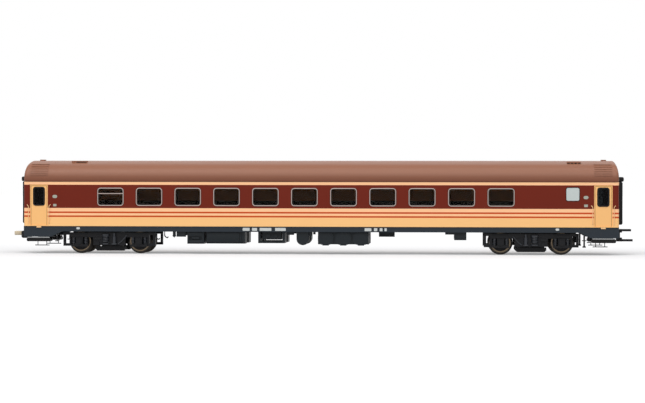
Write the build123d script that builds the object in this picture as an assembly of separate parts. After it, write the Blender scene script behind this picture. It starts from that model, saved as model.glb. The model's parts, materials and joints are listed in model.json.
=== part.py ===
"""Express passenger coach with side doors at both ends, a 1:87 scale model, in millimetres.

X runs along the coach, Y across it and Z up. The origin is under the middle of the coach, at the
height of the lowest point of the wheel flanges. The near side is at negative Y.
"""
from build123d import *
from math import sqrt
import os

# Body shell and roof
body_length = 300.0
half_width = 16.2
wall = 0.9
end_wall = 1.0
sill_z = 14.0
gangway_rise = 1.2
end_door_height = 20.4
end_door_head = 0.9
shoulder_rise = 1.5
shoulder_radius = 8.0
roof_rise = 9.4
end_lean = 1.7
corner_radius = 1.2
gutter_height = 0.4
gutter_proud = 0.15
half_length = body_length / 2
gangway_low_z = sill_z + gangway_rise
end_door_top_z = gangway_low_z + end_door_height
eave_z = end_door_top_z + end_door_head
shoulder_z = eave_z + shoulder_rise
roof_top_z = shoulder_z + roof_rise

# Side windows, in a row that stops short of the lavatory end
window_count = 11
window_pitch = 19.70
first_window_x = -105.5
window_sill_z = 24.3
window_width = 13.4
window_height = 9.15
window_corner = 1.6
frame_width = 0.55
frame_proud = 0.10
pane_thickness = 0.5
pane_setback = 0.25
transom_bar_drop = 2.95
transom_bar_height = 0.55

# Entrance doors
door_end_gap = 7.8
door_width = 9.2
door_foot_gap = 0.5
door_height = 20.6
door_recess = 0.3
door_window_width = 6.1
door_window_height = 9.6
door_window_rise = 9.8
door_window_corner = 1.3
door_seal_width = 0.7
rail_door_gap = 0.65
rail_low_gap = 1.5
rail_length = 9.0
rail_standoff = 0.35
rail_thickness = 0.4
door_x = half_length - door_end_gap
door_foot_z = sill_z + door_foot_gap
door_window_z = door_foot_z + door_window_rise

# Frosted window of the lavatory
lavatory_door_gap = 15.1
lavatory_width = 6.4
lavatory_height = 6.4
lavatory_rise = 3.0
lavatory_corner = 0.9
lavatory_x = door_x - lavatory_door_gap
lavatory_z = window_sill_z + lavatory_rise

# Interior
inner_floor = 1.0
partition_thickness = 0.8
partition_drop = 1.5
corridor_width = 8.7
seat_depth = 5.2
seat_rise = 2.6
seat_cushion = 2.0
seat_back_rise = 15.5
seat_back_thickness = 1.3
partition_top_z = eave_z - partition_drop
corridor_wall_y = half_width - wall - corridor_width

# Roof louvres
louvre_length = 8.9
louvre_count = 6
louvre_proud = 0.22
louvre_height = 0.45
louvre_rise = 3.2
louvre_pitch_z = 1.12

# Roof ventilators: distance from the end, place across, length, width, rise
vent_hoods = (
    ("left", 27.1, 7.0, 7.8, 3.0, 0.55),
    ("right", 22.0, 8.6, 6.9, 3.0, 0.55),
)
cap_end_gap = 6.5
cap_length = 2.6
cap_width = 3.0
cap_rise = 0.5

# Underframe
plate_thickness = 0.8
solebar_setback = 0.3
solebar_thickness = 0.9
solebar_bottom_z = 11.3
skirt_bottom_z = 8.6
skirt_length = 14.0
skirt_taper = 5.5
headstock_thickness = 1.0
coupler_bay_half = 7.0
sill_beam_y = 3.0
sill_beam_width = 1.0
sill_beam_depth = 1.0
bearer_pitch = 21.0
bearer_count = 7
bearer_depth = 0.6
plate_bottom_z = sill_z - plate_thickness
solebar_face_y = half_width - solebar_setback
solebar_inner_y = solebar_face_y - solebar_thickness
skirt_start_x = half_length - skirt_length
skirt_taper_x = skirt_start_x - skirt_taper

# Steps under the doors
board_length = 12.2
board_end_gap = 1.4
board_thickness = 1.8
board_drop = 0.6
board_depth = 5.6
board_corner = 0.7
wire_thickness = 0.45
wire_step_length = 7.3
wire_step_gap = 9.2
wire_hanger_pitch = 4.5
wire_step_z = 4.3
wire_step_inset = 1.3
bracket_left_gap = 17.1
bracket_right_gap = 14.8
bracket_low_z = 6.7
bracket_foot = 2.2
board_outer_x = half_length - board_end_gap
board_high_z = skirt_bottom_z - board_drop
board_low_z = board_high_z - board_thickness
board_outer_y = solebar_face_y - 0.3

# Gangway tubes and end doors
gangway_head = 3.6
gangway_half = 7.6
gangway_roll = 2.4
gangway_reach_low = 2.6
gangway_reach_high = 3.2
gangway_round = 0.8
end_door_half = 4.4
end_door_setback = 0.2
gangway_high_z = end_door_top_z + gangway_head

# Pipe ends under one end, hung beside the skirt
pipe_gap = 0.1
pipe_pitch = 2.2
pipe_half = 0.4
pipe_low_z = 5.6
long_pipe_low_z = 4.6
pipe_foot_half = 0.8
pipe_foot_height = 0.7

# Equipment under the floor: left side, right side and lower edge of each piece. The places are
# for bogie pivots 106.6 from the middle, and stretch along the coach with the pivots.
battery_place = (-66.5, -58.0, 5.15)
converter_place = (-56.7, -37.2, 5.3)
frame_place = (-30.5, -17.0, 5.6)
pod_place = (-11.1, -5.0, 4.7)
tanks_place = (-0.3, 25.3, 4.5)
relay_place = (63.7, 74.3, 7.4)
valve_places = (
    (-72.0, -67.4, 8.7),
    (-73.9, -72.6, 9.6),
    (-15.9, -12.4, 9.8),
    (-4.6, -3.4, 9.4),
)
pivot_place = 106.6
gear_inset = 1.3
gear_inner_y = 4.0
gear_edge = 0.7
valve_depth = 1.8
cock_size = 1.3
cock_z = 9.2
slot_margin = 0.9
slot_depth = 1.0
slot_low_z = 7.1
slot_high_z = 8.9
groove_width = 0.35
groove_depth = 0.4
groove_gap = 1.8
groove_pitch = 1.1
cover_strip_z = 5.9
cover_strip_height = 0.25
bar_thickness = 1.2
bar_height = 0.8
device_margin = 2.0
device_low_z = 7.4
dial_radius = 0.95
dial_z = 9.3
strap_width = 1.0
strap_proud = 0.15
bay_count = 3
bay_gap = 1.1
bay_proud = 0.8
bay_corner = 2.2
bay_foot_half = 1.6
relay_plate_z = 10.2
relay_shelf = 4.5

# Wheelsets
wheelbase = 30.4
tread_radius = 5.5
flange_radius = 6.2
flange_width = 0.8
wheel_width = 2.8
wheel_inner_y = 7.2
web_recess = 0.9
rim_thickness = 1.1
hub_radius = 1.9
axle_radius = 1.0
journal_radius = 0.8
journal_end_y = 12.9
running_gap = 0.05

# Bogie frames
bogie_overhang = 43.4
frame_inner_y = 11.6
frame_thickness = 1.6
rail_low_z = 8.3
rail_high_z = 10.8
belly_low_z = 4.2
arch_radius = 7.0
frame_end_gap = 5.3
guard_width = 1.0
post_gap = 1.9
post_width = 1.2
post_low_z = 3.9
arm_height = 1.3
axlebox_half = 1.8
axlebox_low_z = 3.9
axlebox_proud = 0.8
wing_half = 4.2
wing_low_z = 3.6
wing_thickness = 1.1
cover_radius = 1.6
cover_proud = 0.5
transom_half = 4.5
transom_low_z = 7.4
pivot_radius = 2.0
boss_radius = 5.0
spring_radius = 1.1
spring_spread = 3.05
bolster_spring_radius = 2.1
bolster_spring_x = -1.8
bolster_low_z = 4.7
bolster_high_z = 9.9
lower_cup = 0.7
upper_cup = 0.9
cup_proud = 0.3
damper_x = 2.7
damper_radius = 0.9
damper_head_gap = 0.4
damper_foot_z = 4.6
damper_foot_half = 1.2
damper_foot_height = 0.6
link_outline = ((4.3, 4.5), (5.5, 4.5), (9.4, 8.6), (9.4, 9.9), (8.4, 9.9), (4.3, 5.7))
strut_thickness = 0.6
magnet_low_z = 1.4
magnet_high_z = 3.7
magnet_half_length = 7.8
magnet_slant = 0.9
magnet_inner_y = 7.6
magnet_width = 2.2
hanger_x = 6.0
hanger_width = 1.2
bogie_x = half_length - bogie_overhang
gear_stretch = bogie_x / pivot_place
gear_outer_y = solebar_face_y - gear_inset
axle_x = wheelbase / 2
wheel_z = flange_radius
frame_outer_y = frame_inner_y + frame_thickness
frame_reach = axle_x + frame_end_gap
post_inner_x = frame_reach + post_gap
post_outer_x = post_inner_x + post_width
axlebox_outer_y = frame_outer_y + axlebox_proud

# Couplers
coupler_pivot_gap = 12.0
coupler_pin_radius = 1.3
coupler_eye_radius = 2.6
shank_low_z = 9.3
shank_high_z = 11.1
shank_half = 1.5
pin_overlap = 0.4
head_gap = 0.2
head_half = 3.2
block_length = 4.2
block_low_z = 7.5
block_high_z = 11.3
block_round = 1.2
tongue_length = 3.8
tongue_half = 2.0
tongue_low_z = 9.0
tongue_round = 0.8
fork_length = 2.5
fork_low_z = 6.7
fork_high_z = 12.9
fork_slot_depth = 1.0
fork_slot_low_z = 8.6
fork_slot_high_z = 11.2
prong_thickness = 1.1
prong_round = 0.9
upper_prong_length = 4.7
upper_prong_half = 2.4
lower_prong_length = 5.6
lower_prong_half = 1.8
coupler_pivot_x = half_length - coupler_pivot_gap


def slab(x0, x1, y0, y1, z0, z1):
    """A box given by its limits."""
    return Pos((x0 + x1) / 2, (y0 + y1) / 2, (z0 + z1) / 2) * Box(x1 - x0, y1 - y0, z1 - z0)


def across(face, y0, y1):
    """A face drawn in X and Z, extruded from y0 to y1."""
    return extrude(Plane.XZ.offset(-y0) * face, amount=y0 - y1)


def drum(x, y, z0, z1, radius):
    """An upright cylinder."""
    return Pos(x, y, (z0 + z1) / 2) * Cylinder(radius, z1 - z0)


def roller(x, z, y0, y1, radius):
    """A cylinder that lies across the coach."""
    return Pos(x, (y0 + y1) / 2, z) * Rot(X=90) * Cylinder(radius, y1 - y0)


def panel(x0, x1, z0, z1):
    """A rectangle in X and Z given by its limits."""
    return Pos((x0 + x1) / 2, (z0 + z1) / 2) * Rectangle(x1 - x0, z1 - z0)


def rounded(x, z, width, height, corner):
    """A rectangle with round corners in X and Z, standing on height z."""
    return Pos(x, z + height / 2) * RectangleRounded(width, height, corner)


def paired(shape):
    """A shape on one side and its mirror image on the other side."""
    return shape + mirror(shape, about=Plane.XZ)


def both_ends(shape):
    """A shape at one end and its mirror image at the other end."""
    return shape + mirror(shape, about=Plane.YZ)


def joined(shapes):
    """All shapes of a list as one part."""
    return Part() + list(shapes)


def crown_arc(inset):
    """Radius and centre height of the flat arc on top of the roof."""
    r = shoulder_radius - inset
    reach = half_width - shoulder_radius
    rise = roof_top_z - inset - shoulder_z
    radius = (reach**2 + rise**2 - r**2) / (2 * (rise - r))
    return radius, roof_top_z - inset - radius


def section(inset, low_z):
    """Cross-section of body and roof: straight sides, round shoulders and the flat crown arc."""
    w = half_width - inset
    r = shoulder_radius - inset
    reach = w - r
    crown, centre_z = crown_arc(inset)
    distance = sqrt(reach**2 + (shoulder_z - centre_z) ** 2)
    across_y, up_z = reach / distance, (shoulder_z - centre_z) / distance
    half = sqrt((1 + across_y) ** 2 + up_z**2)
    joint = (crown * across_y, centre_z + crown * up_z)
    middle = (reach + r * (1 + across_y) / half, shoulder_z + r * up_z / half)
    line = Line((-w, low_z), (w, low_z))
    line += Line((w, low_z), (w, shoulder_z))
    line += ThreePointArc((w, shoulder_z), middle, joint)
    line += ThreePointArc(joint, (0, centre_z + crown), (-joint[0], joint[1]))
    line += ThreePointArc((-joint[0], joint[1]), (-middle[0], middle[1]), (-w, shoulder_z))
    line += Line((-w, shoulder_z), (-w, low_z))
    return Plane.YZ * make_face(line)


def side_outline(low_z):
    """Side view of body and roof, with the ends of the roof leaning in along an arc."""
    x = half_length
    high = roof_top_z + 1 - shoulder_z
    rise = roof_top_z - shoulder_z
    radius = (rise**2 + end_lean**2) / (2 * end_lean)
    lean = radius - sqrt(radius**2 - high**2)
    half = radius - sqrt(radius**2 - (high / 2) ** 2)
    top = shoulder_z + high
    line = Line((-x, low_z), (x, low_z))
    line += Line((x, low_z), (x, shoulder_z))
    line += ThreePointArc((x, shoulder_z), (x - half, shoulder_z + high / 2), (x - lean, top))
    line += Line((x - lean, top), (lean - x, top))
    line += ThreePointArc((lean - x, top), (half - x, shoulder_z + high / 2), (-x, shoulder_z))
    line += Line((-x, shoulder_z), (-x, low_z))
    return make_face(line)


def body_form():
    """The closed outer form of body and roof together, with rounded ends."""
    form = extrude(section(0, sill_z), amount=half_length + 1, both=True)
    form &= across(side_outline(sill_z), -half_width - 1, half_width + 1)
    ends = [e for e in form.edges() if abs(e.center().X) > half_length - end_lean - 0.1]
    return fillet([e for e in ends if e.center().Z > sill_z + 0.01], corner_radius)


def window_places():
    """Centres of the side windows along the coach."""
    return [first_window_x + i * window_pitch for i in range(window_count)]


def window_face(x, trim):
    """Rounded window outline, made smaller by trim on every side."""
    size = (window_width - 2 * trim, window_height - 2 * trim)
    return rounded(x, window_sill_z + trim, *size, window_corner - trim)


def door_window_face(x, trim):
    """Rounded outline of a door window, made smaller by trim on every side."""
    size = (door_window_width - 2 * trim, door_window_height - 2 * trim)
    return rounded(x, door_window_z + trim, *size, door_window_corner - trim)


def lavatory_face():
    """Outline of the frosted window."""
    return rounded(lavatory_x, lavatory_z, lavatory_width, lavatory_height, lavatory_corner)


def door_face(x):
    """Outline of an entrance door."""
    return panel(x - door_width / 2, x + door_width / 2, door_foot_z, door_foot_z + door_height)


def body_shell(form):
    """Side and end walls, with every window and the gangway doors cut through."""
    reach = half_length
    lower = form & slab(-reach, reach, -half_width, half_width, sill_z, eave_z)
    x = reach - end_wall
    y = half_width - wall
    shell = lower - slab(-x, x, -y, y, sill_z, eave_z)
    cuts = [across(window_face(at, 0), -half_width, half_width) for at in window_places()]
    cuts += [across(door_window_face(at, 0), -half_width, half_width) for at in (-door_x, door_x)]
    cuts.append(across(lavatory_face(), -half_width, half_width))
    cuts.append(slab(-reach, reach, -end_door_half, end_door_half, gangway_low_z, end_door_top_z))
    for at in (-door_x, door_x):
        cuts.append(across(door_face(at), -half_width, door_recess - half_width))
        cuts.append(across(door_face(at), half_width - door_recess, half_width))
    return shell - cuts


def roof(form):
    """Hollow roof above the eave, closed at both ends, with a rain gutter along each side."""
    upper = form & slab(-half_length, half_length, -half_width, half_width, eave_z, roof_top_z)
    hollow = extrude(section(wall, eave_z), amount=half_length - end_wall - end_lean, both=True)
    x = half_length - corner_radius
    edge = half_width + gutter_proud
    gutter = slab(-x, x, half_width - wall, edge, eave_z, eave_z + gutter_height)
    return upper - hollow + paired(gutter)


def roof_louvres():
    """Panels of horizontal ribs on both shoulders of the roof, above every door."""
    skin = extrude(section(-louvre_proud, eave_z), amount=louvre_length / 2, both=True)
    skin -= extrude(section(0, eave_z), amount=louvre_length / 2, both=True)
    ribs = []
    for i in range(louvre_count):
        low = eave_z + louvre_rise + i * louvre_pitch_z
        reach = half_width + 1
        ribs.append(skin & slab(-louvre_length, louvre_length, -reach, reach, low, low + louvre_height))
    ribs = joined(ribs)
    return joined([Pos(-door_x, 0, 0) * ribs, Pos(door_x, 0, 0) * ribs])


def crown_height(y):
    """Height of the crown arc of the roof at y."""
    radius, centre_z = crown_arc(0)
    return centre_z + sqrt(radius**2 - y**2)


def roof_ventilators():
    """Ventilator hoods on both sides of the crown, and a small cap near each end."""
    solid_roof = extrude(section(0, eave_z), amount=half_length, both=True)
    shapes = []
    for end, gap, y, length, width, rise in vent_hoods:
        x = gap - half_length if end == "left" else half_length - gap
        low, high = crown_height(y + width / 2) - 0.3, crown_height(y) + rise
        hood = slab(x - length / 2, x + length / 2, y - width / 2, y + width / 2, low, high)
        shapes.append(paired(hood - solid_roof))
    x = half_length - cap_end_gap
    low, high = crown_height(cap_width / 2) - 0.3, roof_top_z + cap_rise
    cap = slab(x - cap_length / 2, x + cap_length / 2, -cap_width / 2, cap_width / 2, low, high)
    shapes.append(both_ends(cap - solid_roof))
    return joined(shapes)


def window_frames():
    """Metal rings round the side windows, with a transom bar in the first window."""
    rings = []
    for x in window_places():
        ring = window_face(x, 0) - window_face(x, frame_width)
        rings.append(across(ring, half_width - wall, half_width + frame_proud))
    high = window_sill_z + window_height - transom_bar_drop + transom_bar_height / 2
    reach = window_width / 2 - frame_width
    bar = panel(first_window_x - reach, first_window_x + reach, high - transom_bar_height, high)
    rings[0] += across(bar, half_width - pane_setback, half_width + frame_proud)
    return paired(joined(rings))


def window_panes():
    """Glass inside the window frames."""
    y1 = half_width - pane_setback
    panes = [across(window_face(x, frame_width), y1 - pane_thickness, y1) for x in window_places()]
    return paired(joined(panes))


def door_seals():
    """Black rubber round the door windows."""
    rings = []
    for x in (-door_x, door_x):
        ring = door_window_face(x, 0) - door_window_face(x, door_seal_width)
        rings.append(across(ring, half_width - wall, half_width - door_recess + frame_proud))
    return paired(joined(rings))


def door_panes():
    """Glass of the door windows."""
    y1 = half_width - door_recess
    faces = [door_window_face(x, door_seal_width) for x in (-door_x, door_x)]
    return paired(joined(across(face, y1 - pane_thickness, y1) for face in faces))


def lavatory_panes():
    """Frosted panes of the lavatory window, flush in the wall."""
    return paired(across(lavatory_face(), half_width - wall, half_width))


def bench(wall_x, side):
    """Seat and back on one side of a partition."""
    floor_top = sill_z + inner_floor
    inner_y = half_width - wall - pane_thickness
    back = sorted((wall_x, wall_x + side * (partition_thickness / 2 + seat_back_thickness)))
    seat = sorted((wall_x, wall_x + side * (partition_thickness / 2 + seat_depth)))
    low = floor_top + seat_rise
    shape = slab(*back, -inner_y, corridor_wall_y, floor_top, floor_top + seat_back_rise)
    return shape + slab(*seat, -inner_y, corridor_wall_y, low, low + seat_cushion)


def interior():
    """Floor, compartment partitions, corridor wall and facing bench seats."""
    x = half_length - end_wall
    y = half_width - wall
    floor_top = sill_z + inner_floor
    pieces = [slab(-x, x, -y, y, sill_z, floor_top)]
    walls = [first_window_x + (i - 0.5) * window_pitch for i in range(window_count + 1)]
    half = partition_thickness / 2
    for at in walls:
        pieces.append(slab(at - half, at + half, -y, corridor_wall_y, floor_top, partition_top_z))
    pieces += [bench(at, 1) for at in walls[:-1]]
    pieces += [bench(at, -1) for at in walls[1:]]
    far = corridor_wall_y + partition_thickness
    pieces.append(slab(walls[0], walls[-1], corridor_wall_y, far, floor_top, partition_top_z))
    return joined(pieces)


def underframe():
    """Floor plate with sole bars, end skirts, headstocks, beams, bogie pivots and coupler pins."""
    x = half_length
    plate = slab(-x, x, -solebar_face_y, solebar_face_y, plate_bottom_z, sill_z)
    outline = Polyline(
        (-x, sill_z), (-x, skirt_bottom_z), (-skirt_start_x, skirt_bottom_z),
        (-skirt_taper_x, solebar_bottom_z), (skirt_taper_x, solebar_bottom_z),
        (skirt_start_x, skirt_bottom_z), (x, skirt_bottom_z), (x, sill_z), close=True,
    )
    bars = paired(across(make_face(outline), solebar_inner_y, solebar_face_y))
    inner = x - headstock_thickness
    stock = slab(inner, x, coupler_bay_half, solebar_face_y, skirt_bottom_z, plate_bottom_z)
    pieces = [plate, bars, both_ends(paired(stock))]
    beam_x = bogie_x - post_outer_x - 2.0
    beam_y = sill_beam_y + sill_beam_width
    low = plate_bottom_z - sill_beam_depth
    pieces.append(paired(slab(-beam_x, beam_x, sill_beam_y, beam_y, low, plate_bottom_z)))
    low = plate_bottom_z - bearer_depth
    for i in range(bearer_count):
        at = (i - (bearer_count - 1) / 2) * bearer_pitch
        pieces.append(slab(at - 0.6, at + 0.6, -solebar_inner_y, solebar_inner_y, low, plate_bottom_z))
    for side in (-1, 1):
        at = side * bogie_x
        pieces.append(drum(at, 0, rail_high_z + running_gap, plate_bottom_z, boss_radius))
        pieces.append(drum(at, 0, transom_low_z, plate_bottom_z, pivot_radius))
        at = side * coupler_pivot_x
        pieces.append(drum(at, 0, shank_low_z - pin_overlap, plate_bottom_z, coupler_pin_radius))
    return joined(pieces)


def step_boards():
    """Foot boards under the four doors, hung from the skirts."""
    x0, x1 = board_outer_x - board_length, board_outer_x
    board = slab(x0, x1, board_outer_y - board_depth, board_outer_y, board_low_z, board_high_z)
    board = fillet(board.edges().filter_by(Axis.Y), board_corner)
    for x in (x0 + 1.5, x1 - 2.7):
        board += slab(x, x + 1.2, solebar_inner_y, board_outer_y, board_high_z, skirt_bottom_z)
    return both_ends(paired(board))


def wire_steps():
    """Lowest step of every door, a bar on two thin hangers, and a small bracket beside it."""
    half = wire_thickness / 2
    x = half_length - wire_step_gap
    y = board_outer_y - wire_step_inset
    reach = wire_step_length / 2
    step = slab(x - reach, x + reach, y - half, y + half, wire_step_z - half, wire_step_z + half)
    for side in (-1, 1):
        at = x + side * wire_hanger_pitch / 2
        step += slab(at - half, at + half, y - half, y + half, wire_step_z, board_low_z)
    y = (solebar_inner_y + solebar_face_y) / 2
    foot_half = bracket_foot / 2
    foot_low_z = bracket_low_z - wire_thickness
    brackets = []
    for at in (bracket_left_gap - half_length, half_length - bracket_right_gap):
        brackets.append(slab(at - half, at + half, y - half, y + half, bracket_low_z, solebar_bottom_z))
        brackets.append(slab(at - foot_half, at + foot_half, y - half, y + half, foot_low_z, bracket_low_z))
    return both_ends(paired(step)) + paired(joined(brackets))


def grab_rails():
    """Handrails on both sides of every door."""
    low = door_foot_z + rail_low_gap - door_foot_gap
    high = low + rail_length
    y = half_width + rail_standoff
    half = rail_thickness / 2
    rails = []
    for side in (-1, 1):
        x = door_x + side * (door_width / 2 + rail_door_gap)
        rails.append(slab(x - half, x + half, y, y + rail_thickness, low, high))
        for z in (low, high - rail_thickness):
            rails.append(slab(x - half, x + half, half_width, y, z, z + rail_thickness))
    return both_ends(paired(joined(rails)))


def gangway():
    """Rubber gangway tubes at one end: two upright rolls and the larger cross roll on top."""
    x = half_length
    y0, y1 = gangway_half - gangway_roll, gangway_half
    split = gangway_high_z - gangway_roll
    upright = slab(x, x + gangway_reach_low, y0, y1, gangway_low_z, split)
    upright = fillet(upright.edges().filter_by(Axis.Z).sort_by(Axis.X)[-2:], gangway_round)
    top = slab(x, x + gangway_reach_high, -y1, y1, split, gangway_high_z)
    top = fillet(top.edges().filter_by(Axis.Y).sort_by(Axis.X)[-2:], gangway_round)
    return paired(upright) + top


def end_doors():
    """Doors behind the gangways, seated in the end walls."""
    x0, x1 = half_length - end_wall, half_length - end_door_setback
    return both_ends(slab(x0, x1, -end_door_half, end_door_half, gangway_low_z, end_door_top_z))


def stretched(place):
    """Left side, right side and lower edge of a piece, with its sides moved with the pivots."""
    left, right, low = place
    return left * gear_stretch, right * gear_stretch, low


def gear_block(x0, x1, low):
    """Equipment block with rounded lower edges, hung under the floor."""
    block = slab(x0, x1, gear_inner_y, gear_outer_y, low, plate_bottom_z)
    return fillet(block.edges().filter_by(Axis.X).sort_by(Axis.Z)[:2], gear_edge)


def battery_box():
    """Battery box with a deep slot across its front."""
    x0, x1, low = stretched(battery_place)
    slot = slab(x0 + slot_margin, x1 - slot_margin, gear_outer_y - slot_depth, gear_outer_y,
                slot_low_z, slot_high_z)
    return paired(gear_block(x0, x1, low) - slot)


def converter_box():
    """Smooth converter box with a line along its foot and two grooves near one end."""
    x0, x1, low = stretched(converter_place)
    box = gear_block(x0, x1, low)
    y0 = gear_outer_y - groove_depth
    for i in range(2):
        x = x1 - groove_gap - i * groove_pitch
        box -= slab(x, x + groove_width, y0, gear_outer_y, cover_strip_z, plate_bottom_z)
    box -= slab(x0, x1, y0, gear_outer_y, cover_strip_z, cover_strip_z + cover_strip_height)
    return paired(box)


def equipment_frame():
    """Open frame of corner posts and bottom bars round a hanging device."""
    x0, x1, low = stretched(frame_place)
    y0, y1 = gear_inner_y, gear_outer_y
    thick = bar_thickness
    pieces = [slab(x0, x1, y1 - thick, y1, z, z + bar_height) for z in (low, plate_bottom_z - bar_height)]
    pieces.append(slab(x0, x1, y0, y0 + thick, low, low + bar_height))
    for x in (x0, x1 - thick):
        pieces.append(slab(x, x + thick, y0, y1, low, plate_bottom_z))
    left, right = x0 + device_margin, x1 - device_margin
    front = y1 - thick - 0.4
    pieces.append(slab(left, right, y0 + 1, front, device_low_z, plate_bottom_z))
    for share in (0.3, 0.7):
        pieces.append(roller(left + share * (right - left), dial_z, front, front + 0.6, dial_radius))
    return paired(joined(pieces))


def tank_pod():
    """Narrow tank with a round bottom and a strap."""
    x0, x1, low = stretched(pod_place)
    radius = (x1 - x0) / 2
    x = x0 + radius
    face = Pos(x, low + radius) * Circle(radius) + panel(x0, x1, low + radius, plate_bottom_z)
    pod = across(face, gear_inner_y + 1, gear_outer_y)
    strap = offset(face, strap_proud) - face
    strap &= panel(x0 - 1, x1 + 1, 0, plate_bottom_z - strap_proud)
    y1 = gear_outer_y - 3 * strap_width
    return paired(pod + across(strap, y1 - strap_width, y1))


def air_tanks():
    """Three tanks side by side, with arched fronts in a dark frame."""
    x0, x1, low = stretched(tanks_place)
    width = (x1 - x0 - (bay_count - 1) * bay_gap) / bay_count
    front_y = gear_outer_y - bay_proud
    foot_low_z = low + 0.4
    case = slab(x0, x1, gear_inner_y, front_y, foot_low_z + 0.2, plate_bottom_z)
    for i in range(bay_count):
        left = x0 + i * (width + bay_gap)
        middle = left + width / 2
        height = solebar_bottom_z - 0.3 - foot_low_z
        front = rounded(middle, foot_low_z, width, height, bay_corner)
        front += panel(middle - bay_foot_half, middle + bay_foot_half, low, foot_low_z)
        case += across(front, front_y, gear_outer_y)
    return paired(case)


def relay_box():
    """Relay box on its mounting plate."""
    x0, x1, low = stretched(relay_place)
    y0 = 2 * gear_inner_y
    plate = slab(x0, x1, y0, gear_outer_y, relay_plate_z, plate_bottom_z)
    return paired(plate + slab(x0 + relay_shelf, x1, y0, gear_outer_y - 0.2, low, relay_plate_z))


def brake_valves():
    """Small valves and pipe ends hung beside the larger boxes, one with a square cock below."""
    y0, y1 = gear_outer_y - valve_depth, gear_outer_y
    places = [stretched(place) for place in valve_places]
    blocks = joined(slab(x0, x1, y0, y1, low, plate_bottom_z) for x0, x1, low in places)
    x = (places[1][0] + places[1][1]) / 2
    cock = Pos(x, (y0 + y1) / 2, cock_z) * Rot(Y=45) * Box(cock_size, valve_depth, cock_size)
    return paired(blocks + cock)


def end_pipes(chassis):
    """Two hanging pipe ends under the taper of the sole bar at one end."""
    y = (solebar_inner_y + solebar_face_y) / 2
    y0, y1 = y - pipe_half, y + pipe_half
    x = skirt_taper_x + pipe_gap
    pipes = slab(x - pipe_half, x + pipe_half, y0, y1, pipe_low_z, solebar_bottom_z)
    x += pipe_pitch
    pipes += slab(x - pipe_half, x + pipe_half, y0, y1, long_pipe_low_z, solebar_bottom_z)
    foot_low_z = long_pipe_low_z - pipe_foot_height
    pipes += slab(x - pipe_foot_half, x + pipe_foot_half, y0, y1, foot_low_z, long_pipe_low_z)
    return paired(pipes - chassis)


def side_frame():
    """One side of a bogie frame: top rail, belly between the wheels, end arms and posts."""
    reach = frame_reach
    face = panel(-reach, reach, rail_low_z, rail_high_z)
    belly = panel(-axle_x, axle_x, belly_low_z, rail_low_z)
    for side in (-1, 1):
        belly -= Pos(side * axle_x, wheel_z) * Circle(arch_radius)
    face += belly
    for side in (-1, 1):
        post = sorted((side * post_inner_x, side * post_outer_x))
        arm = sorted((side * (reach - 1), side * post_outer_x))
        guard = sorted((side * (reach - guard_width), side * reach))
        face += panel(*post, post_low_z, rail_high_z)
        face += panel(*arm, rail_high_z - arm_height, rail_high_z)
        face += panel(*arm, post_low_z, post_low_z + arm_height)
        face += panel(*guard, post_low_z, rail_low_z)
    frame = across(face, frame_inner_y, frame_outer_y)
    for side in (-1, 1):
        at = side * axle_x
        box = panel(at - axlebox_half, at + axlebox_half, axlebox_low_z, rail_low_z)
        wings = panel(at - wing_half, at + wing_half, wing_low_z, wing_low_z + wing_thickness)
        frame += across(box + wings, frame_inner_y, axlebox_outer_y)
        frame += roller(at, wheel_z, axlebox_outer_y, axlebox_outer_y + cover_proud, cover_radius)
    return frame


def bogie_frame():
    """Both side frames, the transom with the pivot bore, and the axle bores."""
    frame = paired(side_frame())
    inner = frame_inner_y
    frame += slab(-transom_half, transom_half, -inner, inner, transom_low_z, rail_high_z)
    for side in (-1, 1):
        tube = sorted((side * (transom_half - 0.1), side * (transom_half + 1.4)))
        frame += slab(*tube, -inner, inner, rail_low_z, rail_low_z + 1.4)
    frame -= drum(0, 0, transom_low_z - 1, rail_high_z + 1, pivot_radius + running_gap)
    length = journal_end_y + 0.1
    for side in (-1, 1):
        frame -= roller(side * axle_x, wheel_z, -length, length, journal_radius + running_gap)
    return frame


def axle_springs():
    """Springs on both sides of every axlebox, between its wings and the top rail."""
    y = frame_outer_y - 0.3
    low = wing_low_z + wing_thickness
    places = [a * axle_x + s * spring_spread for a in (-1, 1) for s in (-1, 1)]
    return paired(joined(drum(x, y, low, rail_low_z, spring_radius) for x in places))


def bolster_springs():
    """Secondary spring on the outside of each side frame, with its upper and lower cups."""
    x, y, radius = bolster_spring_x, frame_outer_y, bolster_spring_radius
    low, high = bolster_low_z + lower_cup, bolster_high_z - upper_cup
    spring = drum(x, y, low, high, radius - cup_proud)
    spring += drum(x, y, bolster_low_z, low, radius)
    spring += drum(x, y, high, bolster_high_z, radius)
    return paired(spring - slab(x - radius, x + radius, y - radius, y, bolster_low_z, bolster_high_z))


def track_brakes():
    """Magnetic track brake between the wheels on each side, hung from the frame."""
    reach, low, high = magnet_half_length, magnet_low_z, magnet_high_z
    foot = reach - magnet_slant
    outline = Polyline((-reach, high), (-reach, low + 1.0), (-foot, low), (foot, low), (reach, low + 1.0),
                       (reach, high), close=True)
    bar = across(make_face(outline), magnet_inner_y, magnet_inner_y + magnet_width)
    for side in (-1, 1):
        x0, x1 = side * hanger_x - hanger_width / 2, side * hanger_x + hanger_width / 2
        bar += slab(x0, x1, magnet_inner_y + 1, frame_inner_y, magnet_high_z, belly_low_z + 0.8)
        bar += slab(x0, x1, frame_inner_y - 0.8, frame_inner_y, belly_low_z, belly_low_z + 2.0)
    return paired(bar)


def dampers():
    """Upright damper beside the bolster and a slanted link to the belly, on each side."""
    x, y = damper_x, frame_outer_y
    foot_top = damper_foot_z + damper_foot_height
    damper = drum(x, y + damper_radius, foot_top, rail_high_z - damper_head_gap, damper_radius)
    foot = damper_foot_half
    damper += slab(x - foot, x + foot, y, y + 2 * damper_radius, damper_foot_z, foot_top)
    link = Polyline(*link_outline, close=True)
    return paired(damper + across(make_face(link), y, y + strut_thickness))


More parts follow.
